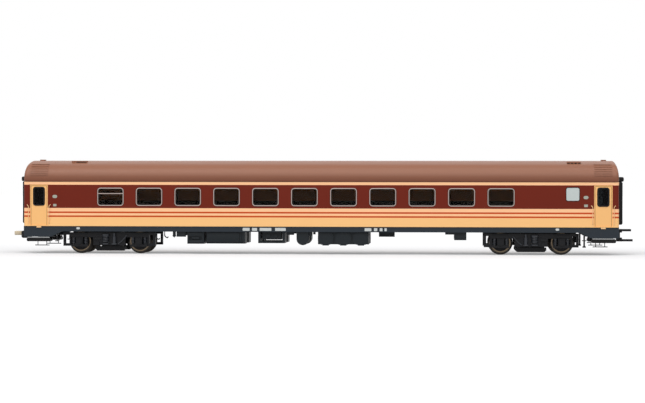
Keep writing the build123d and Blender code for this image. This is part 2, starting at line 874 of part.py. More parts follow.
def wheelset():
    """Axle with two wheels: tread, flange, recessed web and hub."""
    inner = wheel_inner_y
    outer = inner + wheel_width
    rim = tread_radius - rim_thickness
    profile = Polyline(
        (0, 0), (axle_radius, 0), (axle_radius, inner), (flange_radius, inner),
        (flange_radius, inner + flange_width), (tread_radius, inner + flange_width + 0.4),
        (tread_radius, outer), (rim, outer), (rim, outer - web_recess), (hub_radius, outer - web_recess),
        (hub_radius, outer), (journal_radius, outer), (journal_radius, journal_end_y), (0, journal_end_y),
        close=True,
    )
    return Pos(0, 0, wheel_z) * paired(revolve(make_face(profile), Axis.Y))


def coupler_shank():
    """Shank of a coupler, from the eye round its pivot pin to the block behind the head."""
    eye = drum(0, 0, shank_low_z, shank_high_z, coupler_eye_radius)
    reach = half_length + head_gap - coupler_pivot_x
    shank = eye + slab(0, reach, -shank_half, shank_half, shank_low_z, shank_high_z)
    return shank - drum(0, 0, shank_low_z - 1, shank_high_z + 1, coupler_pin_radius + running_gap)


def coupler_head_a():
    """Short coupler head with a rounded block, at the left end."""
    x = -half_length - head_gap
    front = x - block_length
    tip = front - tongue_length
    block = slab(front, x, -head_half, head_half, block_low_z, block_high_z)
    block = fillet(block.edges().filter_by(Axis.Y).sort_by(Axis.X)[:2], block_round)
    tongue = slab(tip, front, -tongue_half, tongue_half, tongue_low_z, shank_high_z)
    tongue = fillet(tongue.edges().filter_by(Axis.Z).sort_by(Axis.X)[:2], tongue_round)
    return block + tongue


def coupler_head_b():
    """Fork-shaped close-coupler head at the right end."""
    x = half_length + head_gap
    front = x + fork_length
    fork = slab(x, front, -head_half, head_half, fork_low_z, fork_high_z)
    fork -= slab(front - fork_slot_depth, front, -head_half, head_half, fork_slot_low_z, fork_slot_high_z)
    # length, half width and lower edge of each prong
    prongs = (
        (upper_prong_length, upper_prong_half, fork_high_z - prong_thickness),
        (lower_prong_length, lower_prong_half, fork_low_z),
    )
    for length, half, low in prongs:
        prong = slab(front, front + length, -half, half, low, low + prong_thickness)
        fork += fillet(prong.edges().filter_by(Axis.Z).sort_by(Axis.X)[-2:], prong_round)
    return fork


def coach_nodes():
    """Every piece of the coach in place, by node name."""
    form = body_form()
    chassis = underframe()
    nodes = {
        "body_shell": body_shell(form),
        "roof": roof(form),
        "roof_louvres": roof_louvres(),
        "roof_ventilators": roof_ventilators(),
        "window_frames": window_frames(),
        "window_panes": window_panes(),
        "door_seals": door_seals(),
        "door_panes": door_panes(),
        "lavatory_panes": lavatory_panes(),
        "interior": interior(),
        "underframe": chassis,
        "step_boards": step_boards(),
        "wire_steps": wire_steps() - chassis,
        "grab_rails": grab_rails(),
        "gangway_a": mirror(gangway(), about=Plane.YZ),
        "gangway_b": gangway(),
        "end_doors": end_doors(),
        "battery_box": battery_box() - chassis,
        "converter_box": converter_box() - chassis,
        "equipment_frame": equipment_frame() - chassis,
        "tank_pod": tank_pod() - chassis,
        "air_tanks": air_tanks() - chassis,
        "relay_box": relay_box() - chassis,
        "brake_valves": brake_valves() - chassis,
        "end_pipes": end_pipes(chassis),
        "coupler_shank_a": Pos(-coupler_pivot_x, 0, 0) * Rot(Z=180) * coupler_shank(),
        "coupler_shank_b": Pos(coupler_pivot_x, 0, 0) * coupler_shank(),
        "coupler_head_a": coupler_head_a(),
        "coupler_head_b": coupler_head_b(),
    }
    for letter, place in (("a", Pos(-bogie_x, 0, 0)), ("b", Pos(bogie_x, 0, 0) * Rot(Z=180))):
        nodes["bogie_frame_" + letter] = place * bogie_frame()
        nodes["axle_springs_" + letter] = place * axle_springs()
        nodes["bolster_springs_" + letter] = place * bolster_springs()
        nodes["track_brakes_" + letter] = place * track_brakes()
        nodes["dampers_" + letter] = place * dampers()
    axle_places = [s * bogie_x + t * axle_x for s in (-1, 1) for t in (-1, 1)]
    for number, x in enumerate(axle_places, start=1):
        nodes["wheelset_" + str(number)] = Pos(x, 0, 0) * wheelset()
    return nodes


os.makedirs("parts", exist_ok=True)
for name, shape in coach_nodes().items():
    export_step(shape, "parts/" + name + ".step")
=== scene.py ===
"""Scale model coach in brown and cream, dressed for a studio view. Metres, in the CAD frame."""

import bmesh
import bpy
import json
import math
from mathutils import Matrix, Vector


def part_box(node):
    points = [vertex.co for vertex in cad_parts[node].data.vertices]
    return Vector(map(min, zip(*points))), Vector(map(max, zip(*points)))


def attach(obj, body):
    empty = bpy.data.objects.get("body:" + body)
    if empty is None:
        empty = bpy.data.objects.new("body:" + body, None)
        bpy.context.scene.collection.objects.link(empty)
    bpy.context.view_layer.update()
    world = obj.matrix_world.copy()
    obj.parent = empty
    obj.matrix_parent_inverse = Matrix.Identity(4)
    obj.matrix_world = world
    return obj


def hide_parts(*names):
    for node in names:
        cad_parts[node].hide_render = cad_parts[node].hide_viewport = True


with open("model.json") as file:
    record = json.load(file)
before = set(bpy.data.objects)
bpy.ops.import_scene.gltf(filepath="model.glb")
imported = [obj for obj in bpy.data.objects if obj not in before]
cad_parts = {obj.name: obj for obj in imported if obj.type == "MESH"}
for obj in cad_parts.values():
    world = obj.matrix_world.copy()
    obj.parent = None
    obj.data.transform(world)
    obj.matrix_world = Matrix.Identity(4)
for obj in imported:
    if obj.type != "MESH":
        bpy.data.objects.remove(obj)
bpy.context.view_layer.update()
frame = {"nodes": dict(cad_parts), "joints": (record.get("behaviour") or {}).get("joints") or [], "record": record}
nodes = frame["nodes"]

MM = 0.001
SLOTS = {row["node"]: row["material_slot"] for row in frame["record"]["subparts"]}


def limits(node):
    """Limits of a CAD node along the coach, across it and up, in millimetres."""
    low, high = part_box(node)
    return [(round(first / MM, 3), round(last / MM, 3)) for first, last in zip(low, high)]


def pivot(joint):
    """Place of a joint, in millimetres."""
    place = next(row["pos_m"] for row in frame["joints"] if row["name"] == joint)
    return [round(value / MM, 3) for value in place]


def middle_of(pair):
    """Middle of a pair of limits."""
    return (pair[0] + pair[1]) / 2


def length_of(pair):
    """Distance between a pair of limits."""
    return pair[1] - pair[0]


def rgb(red, green, blue):
    """A colour from screen values of 0 to 255, as Blender's linear values."""
    def linear(value):
        value /= 255
        return value / 12.92 if value <= 0.04045 else ((value + 0.055) / 1.055) ** 2.4
    return (linear(red), linear(green), linear(blue), 1.0)


CREAM_HIGH = rgb(250, 195, 148)
CREAM_LOW = rgb(247, 194, 130)
CREAM_DOOR = rgb(243, 188, 122)
BROWN = rgb(104, 31, 15)
LINE_ORANGE = rgb(194, 72, 28)
ROOF_BROWN = rgb(140, 93, 71)
# Painted shade: roof brown darkened for the shaded eaves.
EAVE_SHADE_BROWN = rgb(106, 60, 42)
# Painted shadow: the dark line under the gutter.
GUTTER_SHADOW_BROWN = rgb(62, 30, 16)
WALL_BROWN = rgb(176, 118, 70)
SEAT_DARK = rgb(34, 28, 28)
CHASSIS_GREY = rgb(35, 42, 49)
GEAR_GREY = rgb(23, 29, 33)
BLACK = rgb(8, 8, 10)
STAGE_GREY = (0.6, 0.6, 0.61, 1)
WHITE = (1, 1, 1, 1)

# Body, in millimetres
BODY_END, SIDE, EAVE = (high for low, high in limits("body_shell"))
SOLE_FACE = limits("underframe")[1][1]
GEAR_FACE = limits("battery_box")[1][1]

# Heights of the painted bands and of what is inside
BAND_TOP = 35.0
BAND_LOW = 23.15
LINE_HEIGHT = 0.95
LINE_PLACES = (21.0, 19.0)
FLOOR_TOP = 15.2
SEAT_TOP = 27.0
UNDER_BODY = 10.0
ABOVE_ALL = 60.0

# Side windows
WINDOW_COUNT = 11
WINDOW_WIDTH = 13.4
WINDOW_CORNER = 1.6
FRAME_WIDTH = 0.42
WINDOW_ROW, WINDOW_RISE = limits("window_frames")[0], limits("window_frames")[2]
WINDOW_PITCH = (length_of(WINDOW_ROW) - WINDOW_WIDTH) / (WINDOW_COUNT - 1)
WINDOW_PLACES = [WINDOW_ROW[0] + WINDOW_WIDTH / 2 + WINDOW_PITCH * i for i in range(WINDOW_COUNT)]

# Side doors
DOOR_HALF = 4.6
DOOR_WINDOW_WIDTH = 6.1
DOOR_WINDOW_RISE = limits("door_seals")[2]
DOOR_X = limits("door_seals")[0][1] - DOOR_WINDOW_WIDTH / 2

# Bogies and wheels
BOGIE_X = pivot("bogie_b_swivel")[0]
AXLE_X = pivot("wheelset_4_spin")[0] - BOGIE_X
WHEEL_Z = pivot("wheelset_4_spin")[2]
FRAME_FACE = 13.2
BOX_FACE = limits("bogie_frame_a")[1][1]

# Texture of the finishes, in metres
GRAIN_DEPTH = 0.000004
GRAIN_SCALE = 900.0
CLOUD_SCALE = 60.0

# Smoothness of what is drawn
CORNER_STEPS = 4
WIRE_SIDES = 10
COIL_SIDES = 7
COIL_STEPS = 14
PLATE_STEPS = 5
SHARP_ANGLE = math.radians(38)
WELD = 0.0005


def material(name):
    """A new node material with only a Principled shader and an output."""
    mat = bpy.data.materials.new(name)
    mat.use_nodes = True
    mat.node_tree.nodes.clear()
    out = mat.node_tree.nodes.new("ShaderNodeOutputMaterial")
    shader = mat.node_tree.nodes.new("ShaderNodeBsdfPrincipled")
    mat.node_tree.links.new(shader.outputs["BSDF"], out.inputs["Surface"])
    return mat, mat.node_tree, shader


def add(tree, kind, **values):
    """A node with its input values set."""
    node = tree.nodes.new(kind)
    for key, value in values.items():
        node.inputs[key].default_value = value
    return node


def maths(tree, operation, first, second=None):
    """Output of a Math node on sockets or numbers."""
    node = tree.nodes.new("ShaderNodeMath")
    node.operation = operation
    for index, value in enumerate((first, second)):
        if value is None:
            continue
        if isinstance(value, (int, float)):
            node.inputs[index].default_value = value
        else:
            tree.links.new(value, node.inputs[index])
    return node.outputs[0]


def coordinate(tree, axis):
    """Socket of the place along the coach for X, across it for Y or up for Z, in metres."""
    split = tree.nodes.new("ShaderNodeSeparateXYZ")
    tree.links.new(tree.nodes.new("ShaderNodeTexCoord").outputs["Object"], split.inputs[0])
    return split.outputs[axis]


def group(name, inputs, outputs):
    """A new shader node group with named sockets, and its input and output nodes."""
    tree = bpy.data.node_groups.new(name, "ShaderNodeTree")
    for label, kind in inputs:
        tree.interface.new_socket(label, in_out="INPUT", socket_type=kind)
    for label, kind in outputs:
        tree.interface.new_socket(label, in_out="OUTPUT", socket_type=kind)
    return tree, tree.nodes.new("NodeGroupInput"), tree.nodes.new("NodeGroupOutput")


def span_group():
    """Mask that is 1 where a place lies between two limits, with soft edges."""
    inputs = [(label, "NodeSocketFloat") for label in ("Place", "Low", "High", "Edge")]
    tree, given, result = group("span", inputs, (("Mask", "NodeSocketFloat"),))
    place, low, high, edge = given.outputs[:4]
    rise = maths(tree, "DIVIDE", maths(tree, "SUBTRACT", place, low), edge)
    fall = maths(tree, "DIVIDE", maths(tree, "SUBTRACT", high, place), edge)
    both = maths(tree, "MINIMUM", rise, fall)
    clamp = tree.nodes.new("ShaderNodeClamp")
    tree.links.new(both, clamp.inputs["Value"])
    tree.links.new(clamp.outputs[0], result.inputs["Mask"])
    return tree


def moulded_group():
    """Faint mottling and fine grain of moulded and painted plastic."""
    shared = (("Color", "NodeSocketColor"), ("Roughness", "NodeSocketFloat"))
    inputs = shared + (("Variation", "NodeSocketFloat"),)
    tree, given, result = group("moulded", inputs, shared + (("Normal", "NodeSocketVector"),))
    place = tree.nodes.new("ShaderNodeTexCoord").outputs["Object"]
    cloud = add(tree, "ShaderNodeTexNoise", Scale=CLOUD_SCALE, Detail=3.0)
    grain = add(tree, "ShaderNodeTexNoise", Scale=GRAIN_SCALE, Detail=2.0)
    tree.links.new(place, cloud.inputs["Vector"])
    tree.links.new(place, grain.inputs["Vector"])
    swing = maths(tree, "SUBTRACT", cloud.outputs[0], 0.5)
    factor = maths(tree, "MULTIPLY", swing, given.outputs["Variation"])
    value = maths(tree, "ADD", maths(tree, "MULTIPLY", factor, 2.0), 1.0)
    shade = tree.nodes.new("ShaderNodeHueSaturation")
    tree.links.new(given.outputs["Color"], shade.inputs["Color"])
    tree.links.new(value, shade.inputs["Value"])
    rough = maths(tree, "ADD", given.outputs["Roughness"], maths(tree, "MULTIPLY", swing, 0.12))
    bump = add(tree, "ShaderNodeBump", Strength=0.35, Distance=GRAIN_DEPTH)
    tree.links.new(grain.outputs[0], bump.inputs["Height"])
    tree.links.new(shade.outputs[0], result.inputs["Color"])
    tree.links.new(rough, result.inputs["Roughness"])
    tree.links.new(bump.outputs[0], result.inputs["Normal"])
    return tree


SPAN = span_group()
MOULDED = moulded_group()


def use_group(tree, shared, **values):
    """A group node of a shared effect with its own values."""
    node = tree.nodes.new("ShaderNodeGroup")
    node.node_tree = shared
    for key, value in values.items():
        node.inputs[key].default_value = value
    return node


def span(tree, place, low, high, edge=0.05):
    """Mask socket that is 1 between two places given in millimetres."""
    node = use_group(tree, SPAN, Low=low * MM, High=high * MM, Edge=edge * MM)
    tree.links.new(place, node.inputs["Place"])
    return node.outputs["Mask"]


def blend_colours(tree, mask, first, second):
    """Colour socket that goes from first to second by a mask; first is a socket or a colour."""
    node = tree.nodes.new("ShaderNodeMix")
    node.data_type = "RGBA"
    tree.links.new(mask, node.inputs[0])
    if isinstance(first, tuple):
        node.inputs[6].default_value = first
    else:
        tree.links.new(first, node.inputs[6])
    node.inputs[7].default_value = second
    return node.outputs[2]


def finish_with(tree, shader, colour, roughness, variation, specular=None):
    """Runs a colour through the moulded effect into a shader."""
    effect = use_group(tree, MOULDED, Variation=variation, Roughness=roughness)
    if isinstance(colour, tuple):
        effect.inputs["Color"].default_value = colour
    else:
        tree.links.new(colour, effect.inputs["Color"])
    tree.links.new(effect.outputs["Color"], shader.inputs["Base Color"])
    tree.links.new(effect.outputs["Roughness"], shader.inputs["Roughness"])
    tree.links.new(effect.outputs["Normal"], shader.inputs["Normal"])
    if specular is not None:
        shader.inputs["Specular IOR Level"].default_value = specular


def plain_plastic(name, colour, roughness, variation, specular=0.22):
    """Moulded plastic of one colour."""
    mat, tree, shader = material(name)
    finish_with(tree, shader, colour, roughness, variation, specular)
    return mat


def metal(name, colour, roughness):
    """Metal with a faint variation."""
    mat, tree, shader = material(name)
    shader.inputs["Metallic"].default_value = 0.85
    finish_with(tree, shader, colour, roughness, variation=0.1)
    return mat


def glass(name, colour):
    """Tinted clear glazing."""
    mat, tree, shader = material(name)
    shader.inputs["Base Color"].default_value = colour
    shader.inputs["Roughness"].default_value = 0.04
    shader.inputs["Transmission Weight"].default_value = 1.0
    shader.inputs["IOR"].default_value = 1.16
    return mat


def livery():
    """Printed paint of the body: brown window band, cream above and below, orange lines, cream doors."""
    mat, tree, shader = material("livery")
    along = maths(tree, "ABSOLUTE", coordinate(tree, "X"))
    z = coordinate(tree, "Z")
    high = span(tree, z, BAND_LOW - 5.0, EAVE + 3.5, edge=2.0)
    colour = blend_colours(tree, high, CREAM_LOW, CREAM_HIGH)
    colour = blend_colours(tree, span(tree, z, BAND_LOW, BAND_TOP), colour, BROWN)
    for height in LINE_PLACES:
        line = span(tree, z, height - LINE_HEIGHT / 2, height + LINE_HEIGHT / 2, edge=0.12)
        colour = blend_colours(tree, line, colour, LINE_ORANGE)
    door = span(tree, along, DOOR_X - DOOR_HALF, DOOR_X + DOOR_HALF)
    below = span(tree, z, UNDER_BODY, BAND_TOP + 0.1)
    colour = blend_colours(tree, maths(tree, "MULTIPLY", door, below), colour, CREAM_DOOR)
    finish_with(tree, shader, colour, roughness=0.42, variation=0.03, specular=0.15)
    return mat


def roof_paint():
    """Satin brown of the roof, with painted shade that deepens towards the eaves and a painted shadow line under
    the gutter.
    """
    mat, tree, shader = material("roof_paint")
    z = coordinate(tree, "Z")
    # Painted shade: the roof darkens from its upper part down to the eaves.
    high = span(tree, z, EAVE - 0.5, ABOVE_ALL, edge=5.5)
    colour = blend_colours(tree, high, EAVE_SHADE_BROWN, ROOF_BROWN)
    # Painted shadow: a dark line just above the eave, under the gutter.
    colour = blend_colours(tree, span(tree, z, EAVE - 0.1, EAVE + 0.3), colour, GUTTER_SHADOW_BROWN)
    finish_with(tree, shader, colour, roughness=0.36, variation=0.03, specular=0.25)
    return mat


def interior_plastic():
    """Brown compartment walls above dark seats."""
    mat, tree, shader = material("interior_plastic")
    seats = span(tree, coordinate(tree, "Z"), FLOOR_TOP, SEAT_TOP, edge=0.2)
    colour = blend_colours(tree, seats, WALL_BROWN, SEAT_DARK)
    finish_with(tree, shader, colour, roughness=0.6, variation=0.1, specular=0.2)
    return mat


# Colour, roughness and variation of each plastic, and where it differs, its specular level
PLASTICS = {
    "frosted_glass": (rgb(190, 198, 196), 0.3, 0.04),
    "seal_rubber": (BLACK, 0.6, 0.1),
    "chassis_plastic": (CHASSIS_GREY, 0.45, 0.08),
    "step_plastic": (BLACK, 0.5, 0.1),
    "step_wire": (rgb(30, 31, 34), 0.4, 0.1),
    "rail_wire": (rgb(240, 196, 144), 0.4, 0.05),
    "bellows_rubber": (rgb(14, 14, 15), 0.6, 0.15),
    "end_door_paint": (BROWN, 0.45, 0.04),
    "gear_plastic": (GEAR_GREY, 0.45, 0.12),
    "valve_plastic": (GEAR_GREY, 0.4, 0.12),
    "hose_plastic": (BLACK, 0.5, 0.1),
    "coupler_plastic": (BLACK, 0.45, 0.1),
    "bogie_plastic": (rgb(11, 12, 16), 0.42, 0.15),
    "spring_plastic": (rgb(34, 37, 43), 0.34, 0.12, 0.4),
    "blank_plate": (rgb(196, 201, 200), 0.4, 0.04),
    "blank_sign": (rgb(160, 164, 152), 0.4, 0.08),
    "door_seam": (rgb(96, 74, 46), 0.6, 0.08),
    # Painted highlight: the pale strips along the foot boards' edges.
    "step_highlight": (rgb(150, 152, 152), 0.4, 0.05),
    "coupler_tongue": (rgb(206, 192, 166), 0.45, 0.05),
    "wheel_web": (rgb(32, 32, 35), 0.5, 0.1),
}
# Colour and roughness of each metal
METALS = {
    "frame_metal": (rgb(170, 154, 147), 0.45),
    "wheel_metal": (rgb(60, 55, 50), 0.36),
    "tyre_ring": (rgb(118, 104, 86), 0.3),
}
FINISHES = {name: plain_plastic(name, *values) for name, values in PLASTICS.items()}
FINISHES.update({name: metal(name, *values) for name, values in METALS.items()})
FINISHES["window_glass"] = glass("window_glass", rgb(206, 196, 178))
FINISHES["door_glass"] = glass("door_glass", rgb(74, 79, 82))
FINISHES["livery"] = livery()
FINISHES["roof_paint"] = roof_paint()
FINISHES["interior_plastic"] = interior_plastic()


def dress_nodes():
    """Gives every CAD node the material of its slot."""
    for name, piece in nodes.items():
        piece.data.materials.clear()
        piece.data.materials.append(FINISHES[SLOTS[name]])


# Shapes are drawn in millimetres and made metres when a piece is finished.


def block(shape, x, y, z, edge=0.12, segments=2):
    """Box given by its limits along each axis, with rounded edges."""
    middle = Vector([middle_of(limit) for limit in (x, y, z)])
    size = [length_of(limit) for limit in (x, y, z)]
    matrix = Matrix.Translation(middle) @ Matrix.Diagonal((*size, 1))
    verts = bmesh.ops.create_cube(shape, size=1.0, matrix=matrix)["verts"]
    edges = list({line for vert in verts for line in vert.link_edges})
    bmesh.ops.bevel(shape, geom=edges, offset=edge, offset_type="OFFSET", segments=segments,
                    profile=0.5, affect="EDGES", material=-1)


def rod(shape, start, end, radius, segments=20):
    """Round bar between two points."""
    start, end = Vector(start), Vector(end)
    turn = (end - start).to_track_quat("Z", "Y").to_matrix().to_4x4()
    matrix = Matrix.Translation((start + end) / 2) @ turn
    bmesh.ops.create_cone(shape, cap_ends=True, segments=segments, radius1=radius, radius2=radius,
                          depth=(end - start).length, matrix=matrix)


def rounded_path(points, radius):
    """Points of a path with its inner corners rounded."""
    points = [Vector(point) for point in points]
    path = [points[0]]
    for before, corner, after in zip(points, points[1:], points[2:]):
        reach = min(radius, (before - corner).length / 2, (after - corner).length / 2)
        first = corner + (before - corner).normalized() * reach
        last = corner + (after - corner).normalized() * reach
        for step in range(CORNER_STEPS + 1):
            share = step / CORNER_STEPS
            path.append(first.lerp(corner, share).lerp(corner.lerp(last, share), share))
    return path + [points[-1]]


def tube(shape, points, radius, bend=0.8):
    """Wire or pipe along a path, made by extruding a ring from point to point."""
    path = rounded_path(points, bend)
    stations = []
    for index, point in enumerate(path):
        ahead = path[min(index + 1, len(path) - 1)] - path[max(index - 1, 0)]
        turn = Vector((0, 0, 1)).rotation_difference(ahead.normalized()).to_matrix().to_4x4()
        stations.append(Matrix.Translation(point) @ turn)
    ring = bmesh.ops.create_circle(shape, segments=WIRE_SIDES, radius=radius, matrix=stations[0])["verts"]
    edges = list({line for vert in ring for line in vert.link_edges})
    first = edges
    for before, after in zip(stations, stations[1:]):
        made = bmesh.ops.extrude_edge_only(shape, edges=edges)["geom"]
        verts = [item for item in made if isinstance(item, bmesh.types.BMVert)]
        edges = [item for item in made if isinstance(item, bmesh.types.BMEdge)]
        bmesh.ops.transform(shape, matrix=after @ before.inverted(), verts=verts)
    bmesh.ops.holes_fill(shape, edges=first)
    bmesh.ops.holes_fill(shape, edges=edges)


def lathe(shape, profile, x, steps):
    """Round shape turned about an axle at x, from a profile of radius and distance to the near side."""
    verts = [shape.verts.new((x + radius, -across, WHEEL_Z)) for radius, across in profile]
    edges = [shape.edges.new(pair) for pair in zip(verts, verts[1:])]
    bmesh.ops.spin(shape, geom=verts + edges, cent=(x, 0, WHEEL_Z), axis=(0, 1, 0),
                   angle=2 * math.pi, steps=steps, use_merge=True, use_duplicate=False)


def coil(shape, x, y, rise, radius, wire, turns=4):
    """Upright coil spring, a ring turned about its axis while it rises."""
    low = rise[0]
    count = turns * COIL_STEPS
    turn = Matrix.Rotation(math.pi / 2, 4, "X")
    matrix = Matrix.Translation((x + radius - wire, y, low + wire)) @ turn
    ring = bmesh.ops.create_circle(shape, segments=COIL_SIDES, radius=wire, matrix=matrix)["verts"]
    edges = list({line for vert in ring for line in vert.link_edges})
    step = (length_of(rise) - 2 * wire) / count
    made = bmesh.ops.spin(shape, geom=ring + edges, cent=(x, y, low), axis=(0, 0, 1),
                          dvec=(0, 0, step), angle=2 * math.pi * turns, steps=count)
    last = [item for item in made["geom_last"] if isinstance(item, bmesh.types.BMEdge)]
    bmesh.ops.holes_fill(shape, edges=edges)
    bmesh.ops.holes_fill(shape, edges=last)


def near(face, out, back):
    """Front and back of trim on the near side: how far it stands out of a face and reaches into it."""
    return -face - out, -face + back


def plate(shape, middle, size, corner, depth, ring=0.0, edge=0.0):
    """Rounded plate facing the near side, or a ring of that width, from its front to its back."""
    front, back = depth
    turn = Matrix.Rotation(math.pi / 2, 4, "X")
    matrix = Matrix.Translation((middle[0], front, middle[1])) @ turn @ Matrix.Diagonal((*size, 1, 1))
    verts = bmesh.ops.create_grid(shape, x_segments=1, y_segments=1, size=0.5, matrix=matrix)["verts"]
    made = bmesh.ops.bevel(shape, geom=verts, offset=corner, offset_type="OFFSET", segments=PLATE_STEPS,
                           profile=0.5, affect="VERTICES", material=-1)
    faces = list({face for vert in made["verts"] for face in vert.link_faces})
    if ring:
        inner = faces[0]
        faces = bmesh.ops.inset_region(shape, faces=faces, thickness=ring, use_boundary=True,
                                       use_even_offset=True)["faces"]
        bmesh.ops.delete(shape, geom=[inner], context="FACES")
    made = bmesh.ops.extrude_face_region(shape, geom=faces, use_keep_orig=True)["geom"]
    moved = [item for item in made if isinstance(item, bmesh.types.BMVert)]
    bmesh.ops.translate(shape, vec=(0, back - front, 0), verts=moved)
    if edge:
        rim = {line for face in faces for line in face.edges if abs(line.calc_face_angle(0)) > 1.0}
        bmesh.ops.bevel(shape, geom=list(rim), offset=edge, offset_type="OFFSET", segments=2,
                        profile=0.5, affect="EDGES", material=-1)


def mirrored(shape, *axes):
    """Adds the mirror image of all that is drawn, along the coach for X and across it for Y."""
    for axis in axes:
        geom = list(shape.verts) + list(shape.edges) + list(shape.faces)
        bmesh.ops.mirror(shape, geom=geom, matrix=Matrix.Identity(4), merge_dist=-1.0, axis=axis)


def finish_piece(shape, name, finish, body, stands_for=(), place=None):
    """Makes the drawn shape a piece of the scene that moves with a body."""
    if place is not None:
        bmesh.ops.transform(shape, matrix=place, verts=shape.verts)
    bmesh.ops.scale(shape, vec=(MM, MM, MM), verts=shape.verts)
    bmesh.ops.recalc_face_normals(shape, faces=shape.faces)
    for face in shape.faces:
        face.smooth = True
    for line in shape.edges:
        line.smooth = line.calc_face_angle(0.0) < SHARP_ANGLE
    mesh = bpy.data.meshes.new(name)
    shape.to_mesh(mesh)
    shape.free()
    piece = bpy.data.objects.new(name, mesh)
    bpy.context.collection.objects.link(piece)
    mesh.materials.append(FINISHES[finish])
    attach(piece, body)
    if stands_for:
        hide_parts(*stands_for)


def window_trim():
    """Bright window frames with rubber inside them, a thin black ring outside them as a painted shadow line, and
    the bar of the first window.
    """
    size = (WINDOW_WIDTH, length_of(WINDOW_RISE))
    lip = 0.18
    inner_size = [side - 2 * FRAME_WIDTH for side in size]
    shadow_line_size = [side + 2 * lip for side in size]
    rims, seals_and_shadow_lines = bmesh.new(), bmesh.new()
    for x in WINDOW_PLACES:
        middle = (x, middle_of(WINDOW_RISE))
        plate(rims, middle, size, WINDOW_CORNER, near(SIDE, 0.1, 0.6), ring=FRAME_WIDTH, edge=0.08)
        plate(seals_and_shadow_lines, middle, inner_size, WINDOW_CORNER - FRAME_WIDTH, near(SIDE, 0.0, 0.3), ring=0.3)
        # Painted shadow: a thin black ring round the outside of each frame, in the rubber finish.
        plate(seals_and_shadow_lines, middle, shadow_line_size, WINDOW_CORNER + lip, near(SIDE, 0.04, 0.05), ring=lip)
    half = WINDOW_WIDTH / 2 - FRAME_WIDTH
    bar = (WINDOW_PLACES[0] - half, WINDOW_PLACES[0] + half)
    block(rims, bar, near(SIDE, 0.1, 0.25), (30.3, 30.7), edge=0.06)
    mirrored(rims, "Y")
    mirrored(seals_and_shadow_lines, "Y")
    finish_piece(rims, "window_rims", "frame_metal", "coach", stands_for=("window_frames",))
    finish_piece(seals_and_shadow_lines, "window_seals_and_shadow_lines", "seal_rubber", "coach")


def lavatory_shadow_rings():
    """Thin black ring round the frosted lavatory windows, a painted shadow line at their edges."""
    shape = bmesh.new()
    width = 0.3
    row, rise = limits("lavatory_panes")[0], limits("lavatory_panes")[2]
    size = (length_of(row) + 2 * width, length_of(rise) + 2 * width)
    # Painted shadow: a thin black ring round the pane.
    plate(shape, (middle_of(row), middle_of(rise)), size, 1.1, near(SIDE, 0.06, 0.05), ring=width)
    mirrored(shape, "Y")
    finish_piece(shape, "lavatory_shadow_rings", "seal_rubber", "coach")


def grab_rails():
    """Curved wire rails on both sides of every door."""
    shape = bmesh.new()
    out, wall = near(SIDE, 0.55, 0.05)
    low, bend, top = 15.5, 24.1, 24.8
    for side in (-1, 1):
        x = DOOR_X + side * (DOOR_HALF + 0.65)
        end = x + side * 0.7
        path = ((x, wall, low), (x, out, low), (x, out, bend), (end, out, top), (end, wall, top))
        tube(shape, path, 0.17)
    mirrored(shape, "X", "Y")
    finish_piece(shape, "grab_rail_wires", "rail_wire", "coach", stands_for=("grab_rails",))


def door_seals():
    """Rounded rubber round the door windows."""
    shape = bmesh.new()
    size = (DOOR_WINDOW_WIDTH, length_of(DOOR_WINDOW_RISE))
    plate(shape, (DOOR_X, middle_of(DOOR_WINDOW_RISE)), size, 1.3, near(SIDE, -0.1, 0.9), ring=0.7)
    mirrored(shape, "X", "Y")
    finish_piece(shape, "door_window_seals", "seal_rubber", "coach", stands_for=("door_seals",))


def door_feet():
    """Small pale cover under every door."""
    shape = bmesh.new()
    half, low, top = 1.2, 13.2, 13.9
    depth = (-SIDE - 0.05, -SOLE_FACE + 0.1)
    block(shape, (DOOR_X - half, DOOR_X + half), depth, (low, top), edge=0.1)
    mirrored(shape, "X", "Y")
    finish_piece(shape, "door_foot_covers", "rail_wire", "coach")


def door_seams():
    """Dark seam round every door leaf, and a small dark dot in the middle of the leaf."""
    shape = bmesh.new()
    leaf, width = (8.2, 20.2), 0.14
    middle, depth = (DOOR_X, 24.4), near(SOLE_FACE, 0.03, 0.05)
    plate(shape, middle, leaf, 0.5, depth, ring=width)
    plate(shape, middle, (width, width), 0.03, depth)
    mirrored(shape, "X", "Y")
    finish_piece(shape, "door_seams", "door_seam", "coach")


def blank_signs():
    """Blank signs beside the doors, on the near side only."""
    shape = bmesh.new()
    # middle along the coach and up, width, height and corner
    signs = (
        (-134.0, 29.0, 2.4, 1.6, 0.75),
        (-134.0, 24.6, 1.7, 1.2, 0.2),
        (133.6, 28.9, 2.4, 1.6, 0.75),
        (133.6, 24.8, 1.8, 1.3, 0.2),
    )
    for x, z, width, height, corner in signs:
        plate(shape, (x, z), (width, height), corner, near(SIDE, 0.04, 0.02))
    finish_piece(shape, "blank_signs", "blank_sign", "coach")


def blank_plates():
    """Blank plates along the sole bar, on the near side only."""
    shape = bmesh.new()
    depth = near(SOLE_FACE, 0.03, 0.02)
    # left and right side of each large plate
    large_plates = (
        (-38.2, -34.7), (-33.5, -30.9), (-29.6, -23.7), (-21.8, -16.4),
        (23.3, 26.7), (28.0, 29.7), (30.9, 32.3), (33.3, 34.4),
    )
    large_z, large_height = 12.6, 1.5
    for sides in large_plates:
        plate(shape, (middle_of(sides), large_z), (length_of(sides), large_height), 0.2, depth)
    small_z, small_size = 12.9, (1.8, 1.1)
    for x in (-122.1, 119.5):
        plate(shape, (x, small_z), small_size, 0.5, depth)
    finish_piece(shape, "blank_plates", "blank_plate", "coach")


